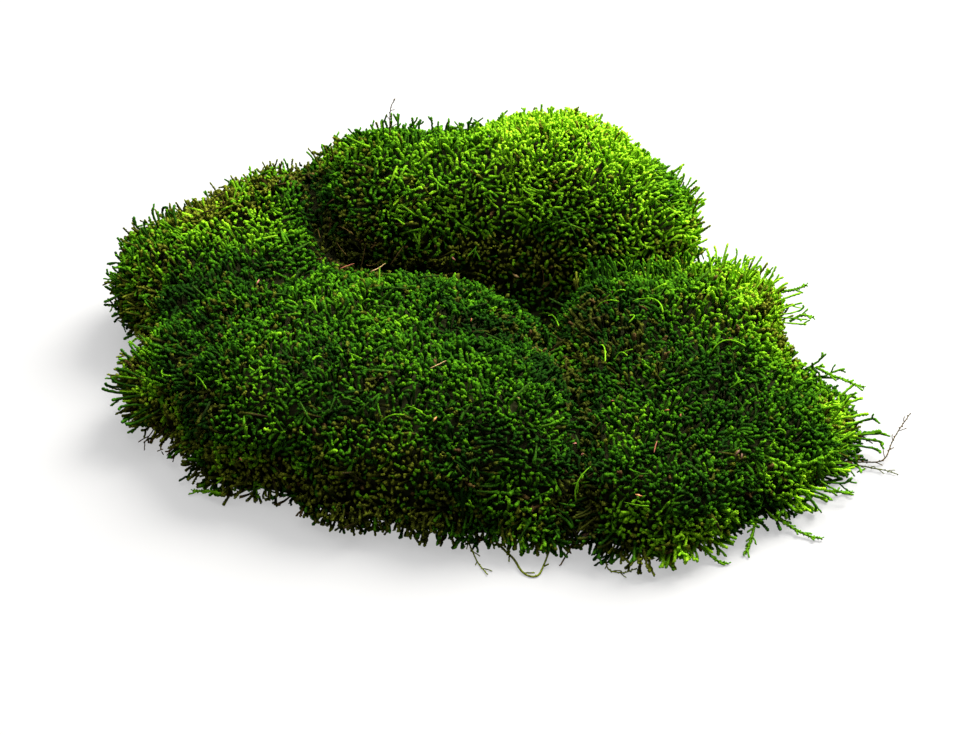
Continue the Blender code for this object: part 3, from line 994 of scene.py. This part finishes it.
# Single shoots that show in the picture, by group: the tint, the radius in millimetres, the fewest and the
# most side branches, then the pixels of each one's root, middle and tip. Each is rooted in the skin behind.
SEEN = {
    "upper_right": (
        0.88, 0.50, (0, 1),
        (722, 270, 724, 257, 728, 243), (732, 268, 737, 257, 736, 248), (711, 271, 712, 264, 715, 257),
        (742, 273, 743, 265, 746, 255), (747, 272, 752, 262, 755, 256), (745, 275, 757, 264, 762, 256),
        (754, 288, 765, 278, 768, 270), (762, 293, 772, 275, 776, 266), (773, 302, 788, 297, 801, 293),
        (778, 311, 790, 307, 802, 303), (780, 314, 795, 312, 803, 305), (782, 317, 792, 320, 801, 321),
        (787, 322, 797, 325, 805, 324), (696, 258, 698, 252, 700, 247), (770, 286, 776, 280, 779, 274),
    ),
    "right_end": (
        0.68, 0.60, (1, 3),
        (813, 363, 821, 360, 822, 352), (823, 372, 835, 371, 845, 369), (838, 412, 842, 407, 845, 402),
        (852, 428, 865, 420, 877, 422), (852, 432, 872, 433, 886, 435), (852, 436, 872, 440, 882, 445),
        (850, 444, 868, 449, 880, 453), (843, 460, 853, 468, 861, 473), (832, 486, 845, 484, 852, 477),
        (825, 483, 838, 492, 850, 493), (808, 490, 820, 497, 830, 500), (806, 490, 810, 500, 811, 507),
        (757, 530, 752, 541, 744, 554),
    ),
    "left_end": (
        0.46, 0.74, (0, 1),
        (156, 222, 152, 213, 154, 208), (166, 222, 163, 214, 168, 208), (175, 222, 175, 216, 177, 210),
        (140, 228, 134, 224, 134, 217), (118, 280, 113, 276, 108, 273), (122, 292, 112, 299, 104, 302),
        (128, 312, 122, 313, 115, 314), (126, 396, 112, 392, 102, 388), (128, 391, 116, 388, 106, 383),
        (134, 384, 124, 383, 112, 378), (138, 374, 132, 374, 120, 371), (132, 397, 124, 398, 113, 400),
        (136, 402, 130, 404, 119, 410), (148, 414, 133, 416, 122, 422), (150, 420, 138, 422, 126, 423),
        (130, 358, 125, 354, 121, 349), (142, 360, 138, 356, 131, 350), (180, 448, 173, 450, 171, 457),
    ),
    "brown_bits": (
        0.07, 0.34, (0, 2),
        (152, 432, 148, 437, 145, 441), (158, 434, 153, 439, 149, 440), (168, 440, 164, 446, 162, 450),
        (176, 445, 172, 450, 168, 447), (180, 448, 177, 453, 173, 457),
    ),
    "roots_in_the_cleft": (
        0.09, 0.24, (0, 0),
        (334, 239, 341, 245, 349, 254), (365, 244, 364, 255, 362, 266), (384, 257, 375, 264, 366, 270),
        (320, 226, 316, 232, 319, 241), (335, 227, 346, 226, 356, 234), (406, 245, 400, 252, 392, 262),
        (322, 207, 330, 205, 337, 200), (540, 268, 545, 276, 541, 285), (556, 276, 548, 283, 538, 290),
    ),
    "pale_on_the_moss": (
        0.72, 0.36, (0, 1),
        (452, 211, 460, 210, 467, 209), (520, 188, 527, 191, 534, 196), (524, 184, 532, 188, 540, 191),
        (392, 217, 398, 221, 403, 224), (537, 314, 552, 314, 563, 329), (630, 297, 655, 301, 662, 316),
        (628, 311, 636, 318, 629, 326), (595, 341, 606, 350, 606, 367), (588, 462, 573, 480, 572, 503),
        (623, 504, 640, 503, 651, 505), (611, 295, 618, 294, 625, 295), (592, 305, 606, 304, 620, 306),
        (612, 361, 620, 356, 628, 361), (712, 350, 724, 342, 745, 350), (708, 315, 716, 316, 724, 322),
        (161, 366, 163, 376, 175, 377), (190, 370, 204, 378, 211, 390), (250, 362, 251, 370, 257, 374),
        (165, 232, 177, 238, 184, 244), (247, 227, 252, 230, 258, 236), (378, 425, 388, 416, 404, 416),
        (404, 415, 410, 407, 428, 417), (330, 345, 338, 351, 344, 357), (348, 350, 352, 358, 361, 364),
    ),
}
OVER_SKIN = 2.2 * MM  # how far a single shoot lies over the skin behind it


def behind(camera, pixel, skins):
    """The skin that a pixel's sight line meets first, or else passes nearest.

    Its number, the place on it, the normal there, and whether the line meets it.
    """
    start, way = sight_line(camera, pixel)
    hits = [skin.tree.ray_cast(start, way) for skin in skins]
    met = [(hit[3], number) for number, hit in enumerate(hits) if hit[0] is not None]
    if met:
        number = min(met)[1]
        return number, hits[number][0], hits[number][1], True
    near = []
    for reach in np.linspace(-0.2, 0.2, 201):
        point = start + way * (DISTANCE + reach)
        for number, skin in enumerate(skins):
            place, normal, _, gap = skin.tree.find_nearest(point)
            near.append((gap, number, place, normal))
    _, number, place, normal = min(near, key=lambda found: found[0])
    return number, place, normal, False


def in_front(camera, pixel, skins, root):
    """A point that shows at a pixel: over the skin behind it, else as far off as the root or on the table."""
    _, place, normal, met = behind(camera, pixel, skins)
    if met:
        return place + normal * OVER_SKIN
    start, way = sight_line(camera, pixel)
    ahead = (AIM - start).normalized()
    reach = (root - start).dot(ahead) / way.dot(ahead)
    return start + way * min(reach, (1.0 * MM - start.z) / way.z)


def seen_shoots(camera, skins, rng):
    """The single shoots of the picture, for each skin by its number."""
    found = [[] for _ in skins]
    for mean_tint, radius, forks, *routes in SEEN.values():
        least, most = DEAD if mean_tint < DEAD[1] else (LEAST_GREEN, MOST_GREEN)
        for route in routes:
            number, place, normal, _ = behind(camera, route[:2], skins)
            middle, tip = (in_front(camera, pixel, skins, place) for pixel in (route[2:4], route[4:]))
            root = place - normal * (2.5 * MM + float(drawn_in(np.array([place]))[0]))
            elbow = middle * 1.6 - (root + tip) * 0.3
            tint = float(np.clip(rng.normal(mean_tint, 0.05), least, most))
            across = rng.normal(size=3)
            girth = radius * MM * rng.uniform(0.9, 1.1)
            branches = rng.integers(forks[0], forks[1] + 1)
            found[number].append((root, elbow, tip, girth, tint, branches, across))
    return [Shoots(*(np.array(array) for array in zip(*rows)), LONG, FEATHERED) for rows in found]


def dress(skin, seen, material, rng):
    """Cover one cushion with shoots, in pieces that run from left to right."""
    kinds = [make(skin, rng) for make in (standing_shoots, wall_shoots, stray_shoots, fringe_shoots)] + [seen]
    parts = math.ceil(sum(kind.triangles for kind in kinds) / PIECE_TRIANGLES)
    edges = np.quantile(skin.places[:, 0], np.linspace(0.0, 1.0, parts + 1))
    edges[0], edges[-1] = -1.0, 1.0
    for number in range(parts):
        heap = Heap()
        if number == 0:
            mat(heap, skin)
            old_stems(heap, skin, rng)
        for kind in kinds:
            root_x = kind.arrays[0][:, 0]
            kind.add(heap, (root_x >= edges[number]) & (root_x < edges[number + 1]), rng)
        heap.make(f"{skin.name}_moss_{number + 1}", material, "living_moss", skin.name)


# ---------------------------------------------------------------- shoots that trail out, and fallen litter

# Each trailing shoot's way from the rim to its tip, as in the part's source, in millimetres.
TRAILS = {
    "runner": ((144.4, -51.9, 1.7), (150.5, -51.7, 2.0), (155.5, -43.7, 6.0), (162.5, -35.7, 13.0)),
    "runner_fork": ((142.1, -54.7, 1.5), (150.5, -56.7, 1.0), (155.5, -58.7, 0.8)),
    "right_shoot_low": ((129.6, -71.8, 2.5), (132.5, -70.7, 1.4), (136.5, -70.7, 1.0)),
    "right_shoot_high": ((132.1, -18.2, 20.3), (139.1, -18.9, 16.9), (146.5, -19.7, 14.0)),
    "fringe_shoot_1": ((115.7, 14.5, 38.3), (119.5, 13.3, 39.0), (125.5, 14.3, 41.0)),
    "fringe_shoot_2": ((122.1, 5.0, 31.6), (123.5, 4.3, 33.0), (127.5, 2.3, 33.0)),
    "corner_shoot": ((107.0, -90.7, 3.3), (115.5, -96.7, 1.6), (121.5, -98.7, 1.0)),
    "corner_stub": ((95.4, -99.9, 6.1), (93.5, -104.7, 3.0), (91.5, -107.7, 1.0)),
    "front_shoot": ((78.4, -110.2, 3.3), (80.5, -111.7, 2.0), (85.5, -112.7, 1.0)),
    "front_strand": ((41.0, -107.8, 3.8), (40.5, -114.7, 1.0), (45.5, -117.7, 0.6), (51.5, -115.7, 0.8)),
    "loop_shoot": (
        (0.4, -104.6, 3.3),
        (5.5, -109.7, 1.6),
        (9.5, -117.7, 0.8),
        (14.5, -119.7, 0.8),
        (17.5, -113.7, 1.2),
        (19.6, -107.8, 3.9),
    ),
    "fallen_stem": ((30.3, -99.1, 4.6), (26.5, -106.7, 1.4), (23.5, -113.7, 0.8)),
    "thin_shoot": ((-10.5, -103.1, 3.4), (-7.5, -110.7, 1.0), (-3.5, -118.7, 0.6)),
    "left_shoot": ((-108.3, -74.6, 4.3), (-110.8, -72.1, 2.8), (-116.5, -69.7, 1.0)),
    "crest_stem": ((-43.9, 70.4, 81.9), (-43.5, 71.3, 90.0), (-41.5, 71.3, 95.0)),
}
# How each bare one looks: its tint, its radius and the length of its leaves in millimetres, the rings of
# leaves from one leaf to the next, and from one side branch to the next.
BARE_TRAILS = {
    "runner": (0.10, 0.26, 0.60, 3, 10),
    "runner_fork": (0.20, 0.26, 0.60, 3, 8),
    "front_strand": (0.28, 0.30, 0.90, 2, 7),
    "loop_shoot": (0.29, 0.45, 0.45, 5, 25),
    "fallen_stem": (0.05, 0.40, 0.45, 6, 18),
    "thin_shoot": (0.29, 0.32, 0.50, 5, 10),
    "crest_stem": (0.08, 0.24, 0.60, 3, 9),
}
FALLEN = {
    "needle_1": ((-63.1, 16.8, 46.9), (-60.4, 18.5, 47.2), (-57.4, 20.0, 47.6)),
    "needle_2": ((57.4, -97.1, 40.1), (57.9, -94.6, 40.9), (58.6, -92.0, 41.7)),
    "straw_1": ((-50.7, 12.2, 48.2), (-47.7, 14.0, 48.9), (-44.6, 16.0, 49.9)),
    "straw_2": ((-24.9, -62.6, 53.4), (-21.6, -60.6, 54.0), (-19.0, -59.0, 54.5)),
}
ROOTED = 5.0 * MM  # how far inside the moss a trailing shoot begins
WHORL = 0.42 * MM  # from one ring of leaves to the next on a trailing shoot
LEAFLET_RADIUS = 0.30 * MM


def leaflets(heap, way, tangents, radius, size, tint, rng):
    """Small pointed leaves that spiral up a stem."""
    count = len(way)
    aside = unit(np.cross(tangents, (0.3, 0.2, 0.9)))
    other = np.cross(tangents, aside)
    turn = column(np.arange(count) * LEAF_TURN)
    outward = np.cos(turn) * aside + np.sin(turn) * other
    roots = way + outward * radius * 0.4
    size = column(size * rng.uniform(0.8, 1.2, count))
    tips = roots + unit(tangents + outward * 0.65) * size
    elbows = roots + unit(tangents + outward * 1.2) * size * 0.5
    tints = np.clip(tint + rng.normal(0.0, 0.02, count), DEAD[0], MOST_GREEN)
    shoots(heap, roots, elbows, tips, np.full(count, LEAFLET_RADIUS), tints, rng, BRANCHLET)


def trail(name, points, material, rng):
    """One trailing shoot: a stem with its leaves round it, and side branches where it is leafy."""
    bare = name in BARE_TRAILS
    leafy = (rng.uniform(0.66, 0.78), 0.56, 0.95, 1, 7)
    tint, radius, leaf, leaf_step, fork_step = BARE_TRAILS.get(name, leafy)
    radius *= MM
    points = np.array(points) * MM
    points[0] += unit(points[0] - points[1]) * ROOTED
    if name == "loop_shoot":
        points[-1] += unit(points[-1] - points[-2]) * ROOTED
    length = np.linalg.norm(np.diff(points, axis=0), axis=1).sum()
    count = int(length / WHORL)
    way = smooth_way(points, count)
    way[:, 2] += 0.25 * MM * waves(way, 4 * MM, 71)
    tangents = unit(np.gradient(way, axis=0))
    along = np.linspace(0.72 if bare else 0.45, 1.0, count + 1)
    heap = Heap()
    girth = radius * np.linspace(1.1, 0.7, count) * (1.0 + 0.08 * (np.arange(count) % 2))
    ropes(heap, way[None], girth[None], np.array([tint]), along, rng, BARE_SIDES)
    whorls = np.arange(2, count, leaf_step)
    leaflets(heap, way[whorls], tangents[whorls], radius, leaf * MM, tint, rng)
    forks = np.arange(count // 4, int(count * 0.9), fork_step)
    start, forward = way[forks], tangents[forks]
    aside = unit(np.cross(forward, UP)) * column((-1.0) ** np.arange(len(forks)))
    reach = column(rng.uniform(2.0, 4.4, len(forks)) * MM)
    tips = start + unit(forward + aside * 0.8 + rng.normal(size=start.shape) * 0.2) * reach
    elbows = start + (forward * 0.5 + aside * 0.7) * reach * 0.5
    tints = np.full(len(forks), tint)
    shoots(heap, start, elbows, tips, np.full(len(forks), radius * 0.85), tints, rng, SIDE)
    heap.make(name, material, "bare_stem" if bare else "living_moss", name)


def fallen_bit(name, points, material, rng):
    """A fallen needle or straw: a dry flattened rod, a little kinked."""
    way = smooth_way(np.array(points) * MM, 14)
    way += wave_vectors(way, 2 * MM, 81) * 0.15 * MM
    heap = Heap()
    girth = 0.27 * MM * np.sin(np.linspace(0.5, 2.7, 14)) * (1.0 + 0.1 * waves(way, 1 * MM, 82))
    tint = 0.3 if name.startswith("needle") else 0.7
    ropes(heap, way[None], girth[None], np.array([tint]), np.linspace(0.0, 1.0, 15), rng)
    heap.make(name, material, "dry_litter", name)


# ---------------------------------------------------------------- floor and light

FLOOR_COLOUR = (0.17, 0.17, 0.175)
FLOOR_GLOW = 0.45  # the pale floor of a light box, which keeps its shadows soft and light


def make_floor():
    half = 3.0
    mesh = bpy.data.meshes.new("floor")
    corners = [(-half, -half, 0), (half, -half, 0), (half, half, 0), (-half, half, 0)]
    mesh.from_pydata(corners, [], [(0, 1, 2, 3)])
    floor = bpy.data.objects.new("floor", mesh)
    bpy.context.scene.collection.objects.link(floor)
    made = bpy.data.materials.new("white_table")
    made.use_nodes = True
    shader = made.node_tree.nodes["Principled BSDF"]
    shader.inputs["Base Color"].default_value = (*FLOOR_COLOUR, 1.0)
    shader.inputs["Roughness"].default_value = 0.9
    shader.inputs["Specular IOR Level"].default_value = 0.1
    shader.inputs["Emission Color"].default_value = (1.0, 1.0, 1.0, 1.0)
    shader.inputs["Emission Strength"].default_value = FLOOR_GLOW
    mesh.materials.append(made)
    floor.visible_diffuse = False


def area_light(name, place, aim, size, power, colour):
    data = bpy.data.lights.new(name, "AREA")
    data.shape = "DISK"
    data.size = size
    data.energy = power
    data.color = colour
    light = bpy.data.objects.new(name, data)
    light.location = place
    light.rotation_mode = "QUATERNION"
    light.rotation_quaternion = (Vector(aim) - Vector(place)).to_track_quat("-Z", "Y")
    bpy.context.scene.collection.objects.link(light)


def make_lights():
    area_light("key", (0.72, 0.66, 1.24), (0.0, 0.0, 0.03), 1.10, 100.0, (1.0, 0.98, 0.91))
    area_light("overhead", (-0.05, 0.10, 1.00), (0.0, 0.0, 0.03), 1.30, 15.0, (1.0, 1.0, 0.97))
    world = bpy.data.worlds.new("studio")
    world.use_nodes = True
    background = world.node_tree.nodes["Background"]
    background.inputs["Color"].default_value = (1.0, 1.0, 1.0, 1.0)
    background.inputs["Strength"].default_value = 0.22
    bpy.context.scene.world = world
    bpy.context.scene.view_settings.view_transform = "Standard"


# Small flecks of litter in the moss, by kind: the tint, then each one's pixel and length in millimetres.
FLECKS = {
    "husks": (0.10, (258, 285, 2.6), (454, 258, 2.2), (585, 456, 2.4), (573, 444, 1.8)),
    "bark": (0.90, (588, 146, 2.4), (736, 455, 3.2), (740, 458, 2.6), (587, 532, 3.4)),
    "chips": (0.30, (242, 458, 2.0), (470, 322, 1.8), (667, 413, 2.0), (680, 418, 1.8), (613, 403, 1.6)),
    "pale_chips": (0.50, (436, 420, 2.4), (640, 494, 2.6)),
    "chaff": (0.70, (516, 274, 3.4), (657, 264, 1.2), (518, 400, 1.2)),
}

# The seeds of the random draws. The cushions take theirs from 1 up.
SEEN_SEED = 30
FLECK_SEED = 31
TRAIL_SEED = 20


def litter_flecks(camera, skins, material, rng):
    """The flecks: small dry chips, each a short flat blade that lies in the tips of the shoots."""
    heap = Heap()
    for tint, *pixel, length in ((tint, *bit) for tint, *bits in FLECKS.values() for bit in bits):
        _, place, normal, _ = behind(camera, pixel, skins)
        way = np.cross(normal, rng.normal(size=3))
        way = unit(way + np.array(normal) * rng.normal(0.0, 0.3))
        middle = np.array(place + normal * 1.2 * MM)
        steps = np.linspace(-0.5, 0.5, 5)
        centres = middle + column(steps) * way * length * MM + column(0.25 - steps**2) * np.array(normal) * MM
        girth = length * 0.16 * MM * np.array((0.5, 1.0, 1.15, 0.9, 0.35))
        ropes(heap, centres[None], girth[None], np.array([tint]), np.linspace(0.0, 1.0, 6), rng)
    heap.make("litter_flecks", material, "dry_litter")


def main():
    camera = make_camera()
    make_floor()
    make_lights()
    moss = moss_material()
    litter = litter_material()
    skins = [Skin(name) for name in CUSHIONS]
    seen = seen_shoots(camera, skins, np.random.default_rng(SEEN_SEED))
    for number, skin in enumerate(skins):
        rng = np.random.default_rng(number + 1)
        skin.spread([other for other in skins if other is not skin], rng)
        dress(skin, seen[number], moss, rng)
    litter_flecks(camera, skins, litter, np.random.default_rng(FLECK_SEED))
    rng = np.random.default_rng(TRAIL_SEED)
    for name, points in TRAILS.items():
        trail(name, points, moss, rng)
    for name, points in FALLEN.items():
        fallen_bit(name, points, litter, rng)


main()
